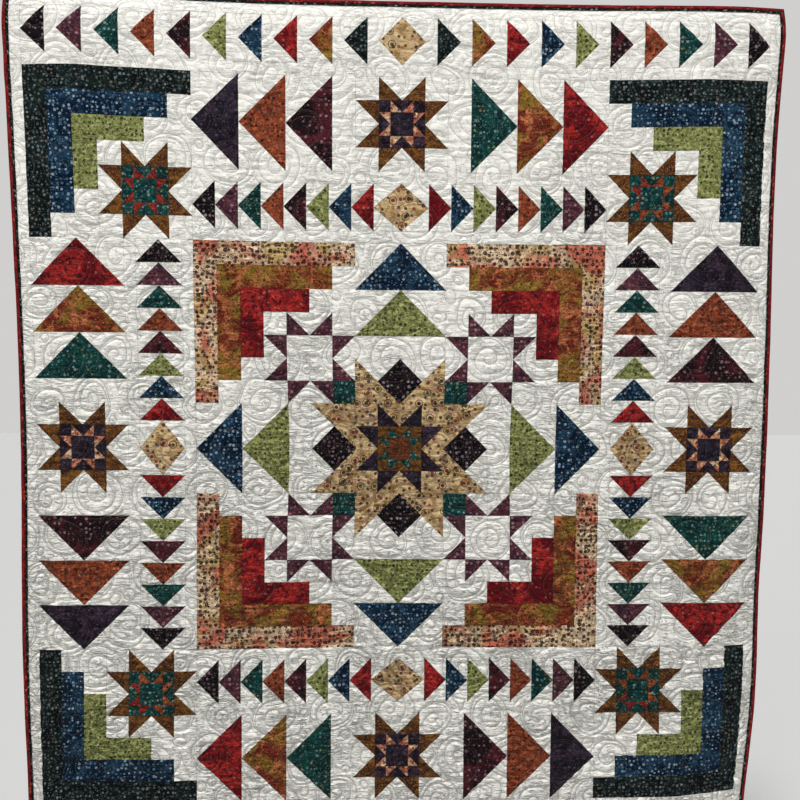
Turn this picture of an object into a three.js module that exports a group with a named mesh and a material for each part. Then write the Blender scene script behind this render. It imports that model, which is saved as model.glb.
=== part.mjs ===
// Star medallion quilt as it hangs: one quilted sheet, a narrow flange and a folded binding on each side.
// Millimetres, +Z up, the front of the quilt faces -Y, the origin is the middle of its top edge.
import * as THREE from 'three';

// Driving dimensions
const unit = 50.8; // one square of the block grid
const piecedWidth = 33 * unit;
const piecedHeight = 38 * unit;
const flangeShow = 5.3; // width of the flange that shows inside the binding
const bindingShow = 9; // width of the binding on the front and on the back
const quiltHalf = 2.2; // half of top, batting and backing in the middle of the quilt
const rimHalf = 1.6; // half of the same under the binding, where it is pressed
const clothThickness = 0.9; // a folded strip of cotton
const clearance = 0.37; // air between two pieces

// Tessellation: stations on the edges and back, two cells of the front between each two stations
const stationsAcross = 28;
const stationsDown = 33;

// Quilting: stitched rings around staggered centres, with batting standing up between them
const puffRise = 2.6;
const ringPitch = 58;
const motifPitch = 4 * unit;
const motifWander = 0.55 * unit;

// The last stretch of each edge leans back from the plane of the quilt
const topRoll = { reach: 70, back: 20 };
const rightRoll = { reach: 120, back: 17 };
const leftRoll = { reach: 90, back: 6 };
const bottomRoll = { reach: 110, back: 8 };

// Soft vertical folds, placed from the middle of the quilt
const folds = [
  { across: -735, up: 640, halfWidth: 42, halfLength: 260, lean: 0.1, rise: 7 },
  { across: -610, up: 700, halfWidth: 55, halfLength: 330, lean: -0.06, rise: -6 },
  { across: -420, up: 120, halfWidth: 130, halfLength: 620, lean: 0.03, rise: 7 },
  { across: -60, up: -180, halfWidth: 170, halfLength: 700, lean: -0.02, rise: -8 },
  { across: 300, up: 300, halfWidth: 120, halfLength: 520, lean: 0.04, rise: 6 },
  { across: 560, up: -120, halfWidth: 110, halfLength: 640, lean: -0.03, rise: -7 },
  { across: 700, up: 620, halfWidth: 60, halfLength: 240, lean: -0.08, rise: 6 },
  { across: 640, up: -760, halfWidth: 70, halfLength: 300, lean: 0.08, rise: 8 },
  { across: -560, up: -720, halfWidth: 90, halfLength: 320, lean: -0.05, rise: 7 },
  { across: 120, up: -860, halfWidth: 120, halfLength: 260, lean: 0.02, rise: 9 },
];

// Places where the cloth is drawn sideways or upwards in its own plane
const pulls = [
  { across: -14 * unit, up: 16 * unit, reach: 5 * unit, right: -2, lift: 14 },
  { across: 14 * unit, up: 16 * unit, reach: 5 * unit, right: 0, lift: 8 },
  { across: 0, up: 7 * unit, reach: 9 * unit, right: 0, lift: -5 },
  { across: -17 * unit, up: -1 * unit, reach: 10 * unit, right: 13, lift: 0 },
  { across: 17 * unit, up: -2 * unit, reach: 10 * unit, right: -8, lift: -4 },
  { across: 17 * unit, up: -18 * unit, reach: 4 * unit, right: -9, lift: 12 },
  { across: -16 * unit, up: 18.5 * unit, reach: 3.5 * unit, right: -4.5, lift: 0 },
  { across: 16 * unit, up: 18.5 * unit, reach: 3.5 * unit, right: 5, lift: 0 },
  { across: 10 * unit, up: -14.5 * unit, reach: 5 * unit, right: 0, lift: -8 },
  { across: 0, up: 13 * unit, reach: 4.5 * unit, right: 0, lift: 4 },
  { across: -4 * unit, up: 0, reach: 2.6 * unit, right: 6, lift: 0 },
  { across: 4 * unit, up: 0, reach: 2.6 * unit, right: -5, lift: 0 },
  { across: -4 * unit, up: -13 * unit, reach: 3 * unit, right: 0, lift: -4 },
];

// Long stretches beside the side edges that are drawn inwards
const tucks = [
  { across: 870, up: 600, halfWidth: 55, halfLength: 360, right: -13 },
  { across: 870, up: -350, halfWidth: 55, halfLength: 170, right: -7 },
  { across: 870, up: -950, halfWidth: 90, halfLength: 360, right: -25 },
  { across: -870, up: -900, halfWidth: 80, halfLength: 360, right: 16 },
  { across: -870, up: 250, halfWidth: 50, halfLength: 480, right: 4.5 },
];

const rimReach = flangeShow + bindingShow;
const halfWidth = piecedWidth / 2;
const halfHeight = piecedHeight / 2;

// Bell curve: 1 in the middle, nearly 0 at twice the reach
function bell(distance, reach) {
  return Math.exp(-((distance / reach) ** 2));
}

// How far an edge leans back, for a point at a distance inside it
function rollBack(inside, roll) {
  const t = Math.max(0, 1 - inside / roll.reach);
  return roll.back * t ** 1.6;
}

// Middle layer of the hanging quilt, from a place on the flat quilt measured from its middle
function drape(across, up) {
  let x = across;
  let y = 0;
  let z = up;
  for (const pull of pulls) {
    const weight = bell(Math.hypot(across - pull.across, up - pull.up), pull.reach);
    x += pull.right * weight;
    z += pull.lift * weight;
  }
  for (const tuck of tucks) {
    x += tuck.right * bell(across - tuck.across, tuck.halfWidth) * bell(up - tuck.up, tuck.halfLength);
  }
  for (const fold of folds) {
    const side = across - fold.across - fold.lean * (up - fold.up);
    y -= fold.rise * bell(side, fold.halfWidth) * bell(up - fold.up, fold.halfLength);
  }
  y += rollBack(halfHeight + rimReach - up, topRoll);
  y += rollBack(halfHeight + rimReach + up, bottomRoll);
  y += rollBack(halfWidth + rimReach - across, rightRoll) * (0.75 - 0.35 * (up / halfHeight));
  y += rollBack(halfWidth + rimReach + across, leftRoll) * (0.8 + 0.4 * Math.sin(up / 210));
  return new THREE.Vector3(x, y, z);
}

// Direction out of the front of the quilt
function frontNormal(across, up) {
  const step = 4;
  const along = drape(across + step, up).sub(drape(across - step, up));
  const upward = drape(across, up + step).sub(drape(across, up - step));
  return along.cross(upward).normalize();
}

// Height of the batting between the stitched rings
function puff(across, up) {
  const row = Math.round(up / motifPitch);
  const shift = row % 2 === 0 ? 0 : motifPitch / 2;
  const column = Math.round((across - shift) / motifPitch);
  const centreAcross = column * motifPitch + shift + motifWander * Math.sin(5.1 * row + 2.3 * column);
  const centreUp = row * motifPitch + motifWander * Math.sin(3.7 * column + 1.9 * row);
  const radius = Math.hypot(across - centreAcross, up - centreUp);
  const ring = 0.5 - 0.5 * Math.cos((2 * Math.PI * radius) / ringPitch);
  return puffRise * ring;
}

// Stations once round the pieced edge, anticlockwise from the lower left corner as the front is seen
function walkPerimeter() {
  const sides = [
    { start: [-1, -1], end: [1, -1], count: stationsAcross, out: [0, -1] },
    { start: [1, -1], end: [1, 1], count: stationsDown, out: [1, 0] },
    { start: [1, 1], end: [-1, 1], count: stationsAcross, out: [0, 1] },
    { start: [-1, 1], end: [-1, -1], count: stationsDown, out: [-1, 0] },
  ];
  const stations = [];
  for (const side of sides) {
    for (let k = 0; k < side.count; k += 1) {
      const t = k / side.count;
      const across = THREE.MathUtils.lerp(side.start[0], side.end[0], t) * halfWidth;
      const up = THREE.MathUtils.lerp(side.start[1], side.end[1], t) * halfHeight;
      const outAcross = k === 0 ? side.start[0] : side.out[0];
      const outUp = k === 0 ? side.start[1] : side.out[1];
      stations.push({
        inner: drape(across, up),
        outer: drape(across + outAcross * rimReach, up + outUp * rimReach),
        slant: -1 / frontNormal(across + (outAcross * rimReach) / 2, up + (outUp * rimReach) / 2).y,
      });
    }
  }
  return stations;
}

// Point of the rim: out is measured from the pieced edge, lift square to the middle layer
function rimPoint(station, out, lift) {
  const point = station.inner.clone().lerp(station.outer, out / rimReach);
  point.y -= lift * station.slant;
  return point;
}

const perimeter = walkPerimeter();
const topMiddle = rimPoint(perimeter[Math.round(stationsAcross * 1.5) + stationsDown], rimReach, 0);

function makeMesh(name, points, faces, material) {
  const positions = points.flatMap((p) => [p.x - topMiddle.x, p.y - topMiddle.y, p.z - topMiddle.z]);
  const geometry = new THREE.BufferGeometry();
  geometry.setAttribute('position', new THREE.Float32BufferAttribute(positions, 3));
  geometry.setIndex(faces.flat());
  geometry.computeVertexNormals();
  const mesh = new THREE.Mesh(geometry, material);
  mesh.name = name;
  return mesh;
}

// Ring of points around the rim, with a point halfway between each two stations if it is fine
function rimRing(out, lift, fine) {
  const ring = [];
  perimeter.forEach((station, k) => {
    const here = rimPoint(station, out, lift);
    ring.push(here);
    if (fine) {
      const next = rimPoint(perimeter[(k + 1) % perimeter.length], out, lift);
      ring.push(here.clone().lerp(next, 0.5));
    }
  });
  return ring;
}

// Place of a border vertex of a grid in the ring that runs round it
function ringIndex(i, j, columns, rows) {
  if (j === 0) return i;
  if (i === columns) return columns + j;
  if (j === rows) return columns + rows + (columns - i);
  return 2 * columns + rows + (rows - j);
}

// One face of the sheet: a grid inside the pieced edge and a band out to the sheet's own edge
function sheetFace(points, faces, columns, rows, side, heightAt) {
  const fine = columns > stationsAcross;
  const edgeOut = rimReach - clothThickness - clearance;
  const rings = [0, flangeShow, edgeOut].map((out) =>
    rimRing(out, side * rimHalf, fine).map((p) => points.push(p) - 1),
  );
  const grid = [];
  for (let i = 0; i <= columns; i += 1) {
    grid.push([]);
    for (let j = 0; j <= rows; j += 1) {
      const border = i === 0 || j === 0 || i === columns || j === rows;
      if (border) {
        grid[i].push(rings[0][ringIndex(i, j, columns, rows)]);
      } else {
        const across = (i / columns - 0.5) * piecedWidth;
        const up = (j / rows - 0.5) * piecedHeight;
        const point = drape(across, up);
        point.addScaledVector(frontNormal(across, up), side * heightAt(across, up));
        grid[i].push(points.push(point) - 1);
      }
    }
  }
  const turn = (a, b, c) => faces.push(side > 0 ? [a, b, c] : [a, c, b]);
  for (let i = 0; i < columns; i += 1) {
    for (let j = 0; j < rows; j += 1) {
      const corners = [grid[i][j], grid[i + 1][j], grid[i + 1][j + 1], grid[i][j + 1]];
      if ((i + j) % 2 === 0) {
        turn(corners[0], corners[1], corners[2]);
        turn(corners[0], corners[2], corners[3]);
      } else {
        turn(corners[0], corners[1], corners[3]);
        turn(corners[1], corners[2], corners[3]);
      }
    }
  }
  const stride = fine ? 2 : 1;
  for (const [inner, outer] of [rings.slice(0, 2), rings.slice(1, 3)]) {
    for (let k = 0; k < inner.length; k += stride) {
      const next = (k + stride) % inner.length;
      for (let m = k; m < k + stride; m += 1) {
        const after = (m + 1) % inner.length;
        turn(inner[k], outer[m], outer[after]);
        turn(outer[next], inner[after], inner[m]);
      }
    }
  }
  return rings[2];
}

// The quilted sheet: top, batting and backing in one solid
function quiltBody() {
  const points = [];
  const faces = [];
  const raised = (across, up) => quiltHalf + puff(across, up);
  const flat = () => quiltHalf;
  const front = sheetFace(points, faces, 2 * stationsAcross, 2 * stationsDown, 1, raised);
  const back = sheetFace(points, faces, stationsAcross, stationsDown, -1, flat);
  for (let k = 0; k < back.length; k += 1) {
    const next = (k + 1) % back.length;
    const [a, b, c] = [front[2 * k], front[2 * k + 1], front[(2 * k + 2) % front.length]];
    faces.push([back[k], back[next], c], [back[k], c, b], [back[k], b, a]);
  }
  const white = new THREE.MeshStandardMaterial({ color: 0xe6e3da, roughness: 0.92, metalness: 0 });
  return makeMesh('quilt_body', points, faces, white);
}

// A strip along one side: a closed section carried past the stations, mitred at both corners
function edgeStrip(name, first, count, section, material) {
  const points = [];
  const faces = [];
  for (let k = 0; k <= count; k += 1) {
    const station = perimeter[(first + k) % perimeter.length];
    const towards = k === 0 ? 1 : -1;
    const neighbour = perimeter[(first + k + towards) % perimeter.length];
    const atEnd = k === 0 || k === count;
    const pullIn = neighbour.inner.clone().sub(station.inner).setLength(atEnd ? clearance * 0.75 : 0);
    for (const [out, lift] of section) points.push(rimPoint(station, out, lift).add(pullIn));
  }
  const size = section.length;
  for (let k = 0; k < count; k += 1) {
    for (let s = 0; s < size; s += 1) {
      const t = (s + 1) % size;
      const [a, b] = [k * size + s, k * size + t];
      const [outward, higher] = [section[t][0] - section[s][0], section[t][1] - section[s][1]];
      if (outward > 0 || (outward === 0 && higher > 0)) {
        faces.push([a, b + size, b], [a, a + size, b + size]);
      } else {
        faces.push([a, a + size, b], [b, a + size, b + size]);
      }
    }
  }
  const outline = section.map(([out, lift]) => new THREE.Vector2(out, lift));
  for (const [a, b, c] of THREE.ShapeUtils.triangulateShape(outline, [])) {
    const last = count * size;
    faces.push([a, b, c], [last + a, last + c, last + b]);
  }
  return makeMesh(name, points, faces, material);
}

// Heights of the layers at the rim, from the middle layer
const flangeBottom = rimHalf + clearance;
const flangeTop = flangeBottom + clothThickness;
const bindingBottom = flangeTop + clearance;
const bindingTop = bindingBottom + clothThickness;
const backInside = -rimHalf - clearance;
const backOutside = backInside - clothThickness;
const foldRound = 1.3; // corner of the fold at the quilt's edge

const wallInside = rimReach - clothThickness;
const bindingSection = [
  [flangeShow, bindingBottom],
  [wallInside, bindingBottom],
  [wallInside, backInside],
  [flangeShow, backInside],
  [flangeShow, backOutside],
  [rimReach - foldRound, backOutside],
  [rimReach, backOutside + foldRound],
  [rimReach, bindingTop - foldRound],
  [rimReach - foldRound, bindingTop],
  [flangeShow, bindingTop],
];
const flangeSection = [
  [0, flangeBottom],
  [flangeShow, flangeBottom],
  [wallInside - clearance, flangeBottom],
  [wallInside - clearance, flangeTop],
  [flangeShow, flangeTop],
  [0, flangeTop],
];

const quilt = new THREE.Group();
quilt.add(quiltBody());
const sides = [
  { name: 'bottom', first: 0, count: stationsAcross },
  { name: 'right', first: stationsAcross, count: stationsDown },
  { name: 'top', first: stationsAcross + stationsDown, count: stationsAcross },
  { name: 'left', first: 2 * stationsAcross + stationsDown, count: stationsDown },
];
for (const { name, first, count } of sides) {
  const red = new THREE.MeshStandardMaterial({ color: 0x82191e, roughness: 0.9, metalness: 0 });
  const green = new THREE.MeshStandardMaterial({ color: 0x1c2d2a, roughness: 0.9, metalness: 0 });
  quilt.add(edgeStrip(`binding_${name}`, first, count, bindingSection, red));
  quilt.add(edgeStrip(`flange_${name}`, first, count, flangeSection, green));
}

export default quilt;
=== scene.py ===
# Star medallion quilt as it hangs by its top edge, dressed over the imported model
import math
import bmesh
import bpy
import numpy as np
from mathutils import Matrix, Vector


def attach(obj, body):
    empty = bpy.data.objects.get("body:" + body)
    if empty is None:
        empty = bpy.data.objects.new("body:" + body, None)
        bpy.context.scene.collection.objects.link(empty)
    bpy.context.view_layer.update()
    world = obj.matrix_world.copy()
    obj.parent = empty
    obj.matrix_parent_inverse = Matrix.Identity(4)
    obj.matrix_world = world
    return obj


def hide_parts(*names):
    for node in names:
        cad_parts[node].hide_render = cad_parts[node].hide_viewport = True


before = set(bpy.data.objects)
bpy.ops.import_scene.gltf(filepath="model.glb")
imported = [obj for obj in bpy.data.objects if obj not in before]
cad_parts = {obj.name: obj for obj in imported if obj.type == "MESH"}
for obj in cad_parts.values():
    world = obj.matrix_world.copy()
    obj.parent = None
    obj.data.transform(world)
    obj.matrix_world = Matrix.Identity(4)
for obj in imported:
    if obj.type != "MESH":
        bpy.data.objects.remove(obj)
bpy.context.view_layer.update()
print("frame loaded:", ", ".join(sorted(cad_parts)))

# Sizes shared by every piece, in metres; a square is one unit of the block grid
square = 0.0508
piecedSquares = (33, 38)
flangeShow = 0.0053
bindingShow = 0.009
rimReach = flangeShow + bindingShow
halfWidth = piecedSquares[0] * square / 2
halfHeight = piecedSquares[1] * square / 2

# How the cloth hangs: edges that lean back, soft folds, and pulls within the sheet
hang = {
    "rollCurl": 1.6,
    "topRoll": {"reach": 0.070, "back": 0.020},
    "rightRoll": {"reach": 0.120, "back": 0.017},
    "leftRoll": {"reach": 0.090, "back": 0.006},
    "bottomRoll": {"reach": 0.110, "back": 0.008},
    "folds": [  # across, up, half width, half length, lean, rise
        (-0.735, 0.640, 0.042, 0.260, 0.10, 0.007),
        (-0.610, 0.700, 0.055, 0.330, -0.06, -0.006),
        (-0.420, 0.120, 0.130, 0.620, 0.03, 0.007),
        (-0.060, -0.180, 0.170, 0.700, -0.02, -0.008),
        (0.300, 0.300, 0.120, 0.520, 0.04, 0.006),
        (0.560, -0.120, 0.110, 0.640, -0.03, -0.007),
        (0.700, 0.620, 0.060, 0.240, -0.08, 0.006),
        (0.640, -0.760, 0.070, 0.300, 0.08, 0.008),
        (-0.560, -0.720, 0.090, 0.320, -0.05, 0.007),
        (0.120, -0.860, 0.120, 0.260, 0.02, 0.009),
    ],
    "pulls": [  # across and up in squares, reach in squares, right, lift
        (-14, 16, 5, -0.002, 0.014),
        (14, 16, 5, 0.000, 0.008),
        (0, 7, 9, 0.000, -0.005),
        (-17, -1, 10, 0.013, 0.000),
        (17, -2, 10, -0.008, -0.004),
        (17, -18, 4, -0.009, 0.012),
        (-16, 18.5, 3.5, -0.0045, 0.000),
        (16, 18.5, 3.5, 0.005, 0.000),
        (10, -14.5, 5, 0.000, -0.008),
        (0, 13, 4.5, 0.000, 0.004),
        (-4, 0, 2.6, 0.006, 0.000),
        (4, 0, 2.6, -0.005, 0.000),
        (-4, -13, 3, 0.000, -0.004),
    ],
    "tucks": [  # across, up, half width, half length, right
        (0.870, 0.600, 0.055, 0.360, -0.013),
        (0.870, -0.350, 0.055, 0.170, -0.007),
        (0.870, -0.950, 0.090, 0.360, -0.025),
        (-0.870, -0.900, 0.080, 0.360, 0.016),
        (-0.870, 0.250, 0.050, 0.480, 0.0045),
    ],
}


def bell(distance, reach):
    return np.exp(-((distance / reach) ** 2))


def rollBack(inside, roll):
    return roll["back"] * np.maximum(0, 1 - inside / roll["reach"]) ** hang["rollCurl"]


def drapeFromMiddle(across, up):
    x, y, z = across.copy(), np.zeros_like(across), up.copy()
    for pullAcross, pullUp, reach, right, lift in hang["pulls"]:
        away = np.hypot(across - pullAcross * square, up - pullUp * square)
        weight = bell(away, reach * square)
        x += right * weight
        z += lift * weight
    for tuckAcross, tuckUp, tuckHalf, tuckLength, right in hang["tucks"]:
        x += right * bell(across - tuckAcross, tuckHalf) * bell(up - tuckUp, tuckLength)
    for foldAcross, foldUp, foldHalf, foldLength, lean, rise in hang["folds"]:
        side = across - foldAcross - lean * (up - foldUp)
        y -= rise * bell(side, foldHalf) * bell(up - foldUp, foldLength)
    y += rollBack(halfHeight + rimReach - up, hang["topRoll"])
    y += rollBack(halfHeight + rimReach + up, hang["bottomRoll"])
    y += rollBack(halfWidth + rimReach - across, hang["rightRoll"]) * (0.75 - 0.35 * up / halfHeight)
    y += rollBack(halfWidth + rimReach + across, hang["leftRoll"]) * (0.8 + 0.4 * np.sin(up / 0.210))
    return np.stack([x, y, z], axis=-1)


hangPoint = drapeFromMiddle(np.array([0.0]), np.array([halfHeight + rimReach]))[0]


def drape(across, up):  # middle layer of the hanging sheet, in the frame of the model
    return drapeFromMiddle(across, up) - hangPoint


def frontNormal(across, up):
    step = 0.004
    along = drape(across + step, up) - drape(across - step, up)
    upward = drape(across, up + step) - drape(across, up - step)
    normal = np.cross(along, upward)
    return normal / np.linalg.norm(normal, axis=-1, keepdims=True)


def softNoise(a, b, seed):  # smooth noise from -1 to 1, one bump to each unit of a and b
    table = np.random.default_rng(seed).uniform(-1, 1, (64, 64))
    wholeA, wholeB = np.floor(a).astype(int), np.floor(b).astype(int)
    partA, partB = a - wholeA, b - wholeB
    partA, partB = partA * partA * (3 - 2 * partA), partB * partB * (3 - 2 * partB)
    low = table[wholeA % 64, wholeB % 64] * (1 - partA) + table[(wholeA + 1) % 64, wholeB % 64] * partA
    high = table[wholeA % 64, (wholeB + 1) % 64] * (1 - partA)
    high += table[(wholeA + 1) % 64, (wholeB + 1) % 64] * partA
    return low * (1 - partB) + high * partB


# The pieced top, drafted in squares from the middle of the medallion
patches = []  # fabric and corners, later ones lie over earlier ones
seams = []  # straight stitched lines that join patches, as pairs of ends
turnedWays = [(1, 0, 0, 1), (0, 1, -1, 0), (-1, 0, 0, -1), (0, -1, 1, 0)]  # quarter turns


def turned(point, way):
    a, b, c, d = turnedWays[way]
    return (a * point[0] + b * point[1], c * point[0] + d * point[1])


def addSeam(corners, way=0):
    ends = [turned(corner, way) for corner in corners]
    seams.extend(zip(ends, ends[1:]))


def addPatch(fabric, corners, way=0):
    patches.append((fabric, [turned(corner, way) for corner in corners]))
    addSeam([*corners, corners[0]], way)


def addBox(fabric, left, low, right, high, way=0):
    addPatch(fabric, [(left, low), (right, low), (right, high), (left, high)], way)


def addGoose(fabric, tip, base, half, way=0):  # tip and base end its middle line
    length = math.dist(tip, base)
    sideX, sideY = (base[1] - tip[1]) / length * half, (tip[0] - base[0]) / length * half
    addPatch(fabric, [tip, (base[0] + sideX, base[1] + sideY), (base[0] - sideX, base[1] - sideY)], way)
    addSeam([(base[0] + sideX, base[1] + sideY), (tip[0] + sideX, tip[1] + sideY)], way)
    addSeam([(base[0] - sideX, base[1] - sideY), (tip[0] - sideX, tip[1] - sideY)], way)


def addStar(points, size, middle=(0, 0), ground=None, centre=None, way=0):
    x, y = middle
    if ground:
        addBox(ground, x - 2 * size, y - 2 * size, x + 2 * size, y + 2 * size, way)
    if centre:
        addBox(centre, x - size, y - size, x + size, y + size, way)
    for quarter in range(4):
        for side in (-1, 1):
            shape = [(side * size, size), (side * size, 2 * size), (0, size)]
            shape = [turned(corner, quarter) for corner in shape]
            addPatch(points, [(x + px, y + py) for px, py in shape], way)
        for line in ([(-2 * size, size), (2 * size, size)], [(-2 * size, 2 * size), (2 * size, 2 * size)]):
            line = [turned(corner, quarter) for corner in line]
            addSeam([(x + px, y + py) for px, py in line], way)


def addLogCorner(fabric, outer, length, way=0):  # outer is how far out its two strips reach
    addBox(fabric, -outer, outer - 1, -outer + length, outer, way)
    addBox(fabric, -outer, outer - length, -outer + 1, outer - 1, way)


smallGeese = ["black", "mauve", "teal", "orange", "wine", "lime", "blue", "red"]
bandGeese = [*smallGeese, "rustGold", "spruce"]

for way in range(4):
    # Medallion corner and arm
    addLogCorner("creamPrint", 9, 7, way)
    addLogCorner("rustGold", 8, 5, way)
    addLogCorner("red", 7, 3, way)
    addStar("mauve", 1, (-4, 4), way=way)
    addBox("teal", -3, 2, -2, 3, way)
    addGoose("blue", (0, 9), (0, 7), 2, way)
    addGoose("lime", (0, 7), (0, 5), 2, way)
    # Border corner
    addLogCorner("spruce", 16, 7, way)
    addLogCorner("blue", 15, 5, way)
    addLogCorner("lime", 14, 3, way)
    addStar("brown", 1, (-11, 11), way=way)
    addStar("ember", 0.5, (-11, 11), ground="teal", way=way)
    # Border arm: a row of small geese, a row of large ones, a star between them
    for side in (-1, 1):
        for index, fabric in enumerate(smallGeese):
            addGoose(fabric, (side * (9 - index), 10.5), (side * (8 - index), 10.5), 1, way)
    addPatch("gold", [(-1, 10.5), (0, 11.5), (1, 10.5), (0, 9.5)], way)
    for side, row in ((-1, ["eggplant", "orange", "wine"]), (1, ["red", "rustGold", "teal"])):
        for index, fabric in enumerate(row):
            tip = side * (9 - 2 * index)
            addGoose(fabric, (tip, 14), (tip - 2 * side, 14), 2, way)
    addStar("brown", 1, (0, 14), way=way)
    addStar("peach", 0.5, (0, 14), ground="eggplant", way=way)
    for height in (9, 9.5, 11.5, 12, 16):
        addSeam([(-9, height), (9, height)], way)
    addSeam([(-9, 9), (-9, 16)], way)
    addSeam([(9, 9), (9, 16)], way)

# The star in the middle, one inside the other
addStar("gold", 2, centre="gold")
for way in range(4):
    addPatch("black", [(0, 4), (1, 3), (0, 2), (-1, 3)], way)
addStar("eggplant", 1)
addStar("teal", 0.5, ground="amber", centre="rust")

# An extra row of geese at the head and foot
for way in (0, 2):
    for side in (-1, 1):
        for index, fabric in enumerate(bandGeese):
            tip = side * (16 - 1.5 * index)
            addGoose(fabric, (tip, 17.5), (tip - side, 17.5), 1, way)
    addPatch("gold", [(-1, 17.5), (0, 18.5), (1, 17.5), (0, 16.5)], way)
    for height in (16, 16.5, 18.5):
        addSeam([(-16.5, height), (16.5, height)], way)
for way in (1, 3):
    addSeam([(-19, 16), (19, 16)], way)
print("pieced top:", len(patches), "patches,", len(seams), "seams")


# The middle square of each row of small geese is wider, so the geese beside it stand a little further out
gooseRow = {"inner": 9, "outer": 12, "middleHalf": 1, "wider": 0.2}


def spreadAlong(along, out):
    run, out = np.abs(along), np.abs(out)
    within = np.clip((out - gooseRow["inner"]) * 2, 0, 1) * np.clip((gooseRow["outer"] - out) * 2, 0, 1)
    weight = within * (run < gooseRow["inner"])
    beside = (gooseRow["inner"] - run) / (gooseRow["inner"] - gooseRow["middleHalf"])
    push = np.where(run < gooseRow["middleHalf"], run, beside)
    return along + gooseRow["wider"] * weight * np.sign(along) * push


def spreadRows(x, y):
    return spreadAlong(x, y), spreadAlong(y, x)


def fabricAt(x, y, names):  # index in names of the fabric at each place, which is given in squares
    found = np.zeros(len(x), dtype=int)
    left, right, low, high = x.min(), x.max(), y.min(), y.max()
    for fabric, corners in patches:
        cornerX, cornerY = zip(*corners)
        if min(cornerX) > right or max(cornerX) < left:
            continue
        if min(cornerY) > high or max(cornerY) < low:
            continue
        turns = []
        for (ax, ay), (bx, by) in zip(corners, [*corners[1:], corners[0]]):
            turns.append((bx - ax) * (y - ay) - (by - ay) * (x - ax))
        turns = np.array(turns)
        inside = (turns > 0).all(axis=0) | (turns < 0).all(axis=0)
        found[inside] = names.index(fabric)
    return found


# Free-form quilting: spirals in loose rows, small rings between them, echoes round all of them
quilting = {
    "columnPitch": 0.118,
    "rowPitch": 0.102,
    "wander": 0.014,
    "spiralRadius": (0.036, 0.055),
    "ringRadius": (0.009, 0.013),
    "pitch": 0.0215,  # from one line to the next
    "heart": 0.008,  # radius where the spiral ends
    "wobble": 0.009,
    "ringTries": 2600,
    "ringGap": 0.004,
    "reach": 0.16,  # a motif further off than this is never the nearest
    "puffRise": 0.0020,
    "puffSoft": 0.0042,
    "seed": 11,
}


def quiltingMotifs():  # across, up, radius, turn and hand of every spiral and ring
    rng = np.random.default_rng(quilting["seed"])
    rows = int(2 * halfHeight / quilting["rowPitch"]) + 3
    columns = int(2 * halfWidth / quilting["columnPitch"]) + 3
    motifs = []
    for row in range(rows):
        for column in range(columns):
            across = (column - (columns - 1) / 2 + 0.5 * (row % 2) - 0.25) * quilting["columnPitch"]
            up = (row - (rows - 1) / 2) * quilting["rowPitch"]
            moved = rng.uniform(-1, 1, 2) * quilting["wander"]
            radius = rng.uniform(*quilting["spiralRadius"])
            turn = rng.uniform(0, 2 * math.pi)
            motifs.append((across + moved[0], up + moved[1], radius, turn, rng.choice([-1, 1])))
    for across, up in rng.uniform(-1, 1, (quilting["ringTries"], 2)) * (halfWidth, halfHeight):
        radius = rng.uniform(*quilting["ringRadius"])
        known = np.array(motifs)
        free = (np.hypot(known[:, 0] - across, known[:, 1] - up) - known[:, 2]).min()
        if free > radius + quilting["ringGap"]:
            motifs.append((across, up, radius, rng.uniform(0, 2 * math.pi), 1))
    return np.array(motifs)


motifs = quiltingMotifs()
print("quilting:", len(motifs), "spirals and rings")


def wobbled(across, up):
    a = across + quilting["wobble"] * softNoise(across / 0.06, up / 0.06, 21)
    b = up + quilting["wobble"] * softNoise(across / 0.06 + 9, up / 0.06 + 5, 22)
    return a, b


def nearestMotif(across, up):  # index of the motif that each place belongs to, after the wobble
    reach = quilting["reach"]
    near = (motifs[:, 0] > across.min() - reach) & (motifs[:, 0] < across.max() + reach)
    near &= (motifs[:, 1] > up.min() - reach) & (motifs[:, 1] < up.max() + reach)
    best, owner = np.full(len(across), 1e9), np.zeros(len(across), dtype=int)
    for index in np.flatnonzero(near):
        away = np.hypot(across - motifs[index, 0], up - motifs[index, 1]) - motifs[index, 2]
        closer = away < best
        best[closer], owner[closer] = away[closer], index
    return owner


def motifPlace(across, up, owner):  # place within the motif, turned and mirrored its way, and its radius
    middleAcross, middleUp, radius, turn, hand = motifs[owner].T
    a, b = across - middleAcross, up - middleUp
    x = (a * np.cos(turn) + b * np.sin(turn)) * hand
    y = b * np.cos(turn) - a * np.sin(turn)
    return np.stack([x, y, radius], axis=1)


def lineDistance(place):  # to the nearest stitched line; stitchDistance gives the materials the same
    away = np.hypot(place[:, 0], place[:, 1])
    beyond = away - place[:, 2]
    spiral = -beyond / quilting["pitch"] + np.arctan2(place[:, 1], place[:, 0]) / (2 * math.pi)
    phase = np.where(beyond > 0, beyond / quilting["pitch"], spiral)
    line = np.abs(phase - np.round(phase)) * quilting["pitch"]
    line = np.where(beyond < 0, np.minimum(line, -beyond), line)
    return np.where(away < quilting["heart"], np.maximum(line, quilting["heart"] - away), line)


# Materials: cotton in plain, mottled, dotted and ringed prints
def linear(colour):  # from red, green and blue up to 255
    shares = [part / 255 for part in colour]
    return (*[share / 12.92 if share < 0.0405 else ((share + 0.055) / 1.055) ** 2.4 for share in shares], 1)


def dots(cell, radius, share, *colours, **more):  # one dot to a cell, its radius as a share of the cell
    return {"cell": cell, "radius": radius, "share": share, "colours": colours, **more}


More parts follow.
